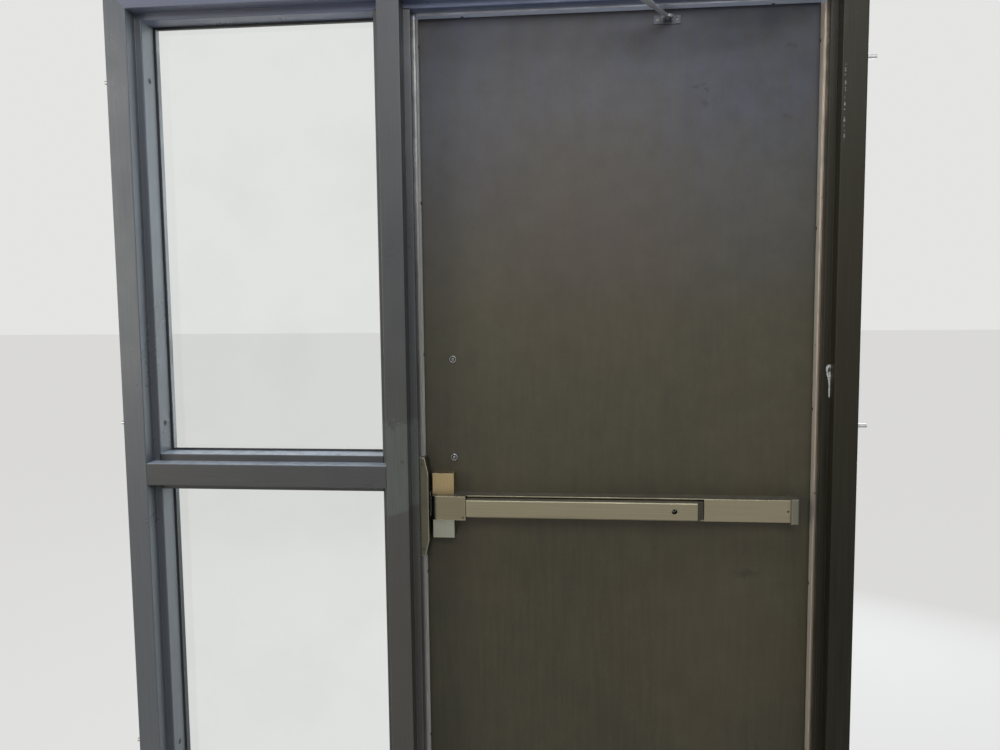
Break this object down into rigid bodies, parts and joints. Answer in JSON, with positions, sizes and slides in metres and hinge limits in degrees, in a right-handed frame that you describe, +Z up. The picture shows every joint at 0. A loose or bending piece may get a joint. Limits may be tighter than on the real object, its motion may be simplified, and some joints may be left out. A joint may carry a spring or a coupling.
{
  "type": "door with frame",
  "caption": "Hollow metal exit door in its welded steel frame with a glazed side light, a push bar exit device, an electric strike, an outside pull and an overhead closer.",
  "frame": {"origin": "on the floor, in the middle of the door opening, in the plane of the frame's inside faces", "axes": "+X to the right seen from inside, towards the hinges; +Y outwards through the doorway, the way the door opens; +Z up"},
  "size_m": [1.7178, 0.3443, 2.1844],
  "materials": {
    "frame_paint": "semi-gloss dark grey enamel, worn",
    "door_paint": "dark brown-grey brushed enamel",
    "bare_steel": "mill finish",
    "zinc_steel": "zinc plated",
    "satin_metal": "satin anodised",
    "strip_metal": "mill finish",
    "strip_rubber": "matt",
    "glazing_rubber": "matt",
    "clear_glass": "clear",
    "dark_plastic": "satin",
    "grey_plastic": "satin",
    "closer_paint": "satin silver enamel",
    "coil_wrap": "wound and taped",
    "pull_metal": "satin"
  },
  "bodies": {
    "frame": {"left_jamb": "frame_paint", "right_jamb": "frame_paint", "header": "frame_paint", "mullion": "frame_paint", "side_light_rail": "frame_paint", "side_light_sill": "frame_paint", "floor_clips": "zinc_steel", "wall_anchor_bolts": "zinc_steel", "wall_anchor_saddles": "zinc_steel", "jamb_hinge_plates": "bare_steel", "glass_panes": "clear_glass", "glazing_tapes": "glazing_rubber", "glazing_beads": "frame_paint", "setting_blocks": "glazing_rubber", "weatherstrip_carriers": "strip_metal", "weatherstrip_bulbs": "strip_rubber", "jamb_hinge_leaves": "zinc_steel", "hinge_pins": "zinc_steel", "strike_body": "satin_metal", "strike_solenoid": "coil_wrap", "strike_keeper_pin": "bare_steel", "closer_body": "closer_paint"},
    "door": {"inner_skin": "door_paint", "outer_skin": "door_paint", "door_end_channels": "door_paint", "stiffeners": "bare_steel", "door_backing_plates": "bare_steel", "door_hinge_plates": "bare_steel", "door_hinge_leaves": "zinc_steel", "device_case": "satin_metal", "device_head_cover": "satin_metal", "device_channel": "satin_metal", "device_end_cover": "satin_metal", "device_end_cap": "grey_plastic", "crank_brackets": "zinc_steel", "crank_pins": "zinc_steel", "crank_springs": "bare_steel", "pull_handle": "pull_metal", "pull_bolts": "zinc_steel", "closer_shoe": "closer_paint", "closer_shoe_pin": "zinc_steel"},
    "touch_bar": {"touch_bar": "satin_metal", "touch_bar_trim": "dark_plastic"},
    "latch": {"latch_bolt": "zinc_steel", "drive_rod": "zinc_steel"},
    "crank_left": {"crank_left": "zinc_steel"},
    "crank_right": {"crank_right": "zinc_steel"},
    "dogging_screw": {"dogging_screw": "bare_steel"},
    "keeper": {"strike_keeper": "zinc_steel"},
    "closer_arm": {"closer_spindle": "bare_steel", "closer_main_arm": "closer_paint", "closer_elbow_bolt": "zinc_steel"},
    "closer_forearm": {"closer_forearm_tube": "closer_paint", "closer_forearm_rod": "zinc_steel"}
  },
  "joints": [
    {"name": "door_swing", "type": "hinge", "parent": "frame", "child": "door", "pos_m": [0.4556, 0.15205, 1.937], "axis": [0, 0, -1], "range_deg": [0, 100], "stiffness_Nm_per_rad": 6, "springref_deg": -91.67},
    {"name": "bar_push", "type": "slide", "parent": "door", "child": "touch_bar", "axis": [0, 1, 0], "range_m": [0, 0.014], "stiffness_N_per_m": 2500, "springref_m": -0.008},
    {"name": "latch_slide", "type": "slide", "parent": "door", "child": "latch", "axis": [1, 0, 0], "range_m": [0, 0.01605]},
    {"name": "crank_left_turn", "type": "hinge", "parent": "door", "child": "crank_left", "pos_m": [-0.2362, 0.0704, 1.017], "axis": [0, 0, -1], "range_deg": [0, 41]},
    {"name": "crank_right_turn", "type": "hinge", "parent": "door", "child": "crank_right", "pos_m": [0.0638, 0.0704, 1.017], "axis": [0, 0, -1], "range_deg": [0, 41]},
    {"name": "dogging_turn", "type": "hinge", "parent": "door", "child": "dogging_screw", "pos_m": [0.1318, 0.1016, 1.017], "axis": [0, 1, 0], "range_deg": [0, 90]},
    {"name": "keeper_swing", "type": "hinge", "parent": "frame", "child": "keeper", "pos_m": [-0.4347, 0.08665, 1.017], "axis": [0, 0, 1], "range_deg": [0, 80], "stiffness_Nm_per_rad": 0.2, "springref_deg": -17.19},
    {"name": "closer_arm_turn", "type": "hinge", "parent": "frame", "child": "closer_arm", "pos_m": [0.3428, -0.03, 2.098], "axis": [0, 0, -1], "range_deg": [0, 105.4]},
    {"name": "closer_elbow", "type": "hinge", "parent": "closer_arm", "child": "closer_forearm", "pos_m": [0.02174, -0.12655, 2.09], "axis": [0, 0, 1], "range_deg": [0, 99.5]}
  ],
  "couplings": [
    {"joint": "latch_slide", "follows": "bar_push", "ratio": 1.1429},
    {"joint": "crank_left_turn", "follows": "bar_push", "rad_per_m": 51.082},
    {"joint": "crank_right_turn", "follows": "bar_push", "rad_per_m": 51.082},
    {"joint": "closer_arm_turn", "follows": "door_swing", "ratio": 1.0537},
    {"joint": "closer_elbow", "follows": "door_swing", "ratio": 0.99442}
  ]
}
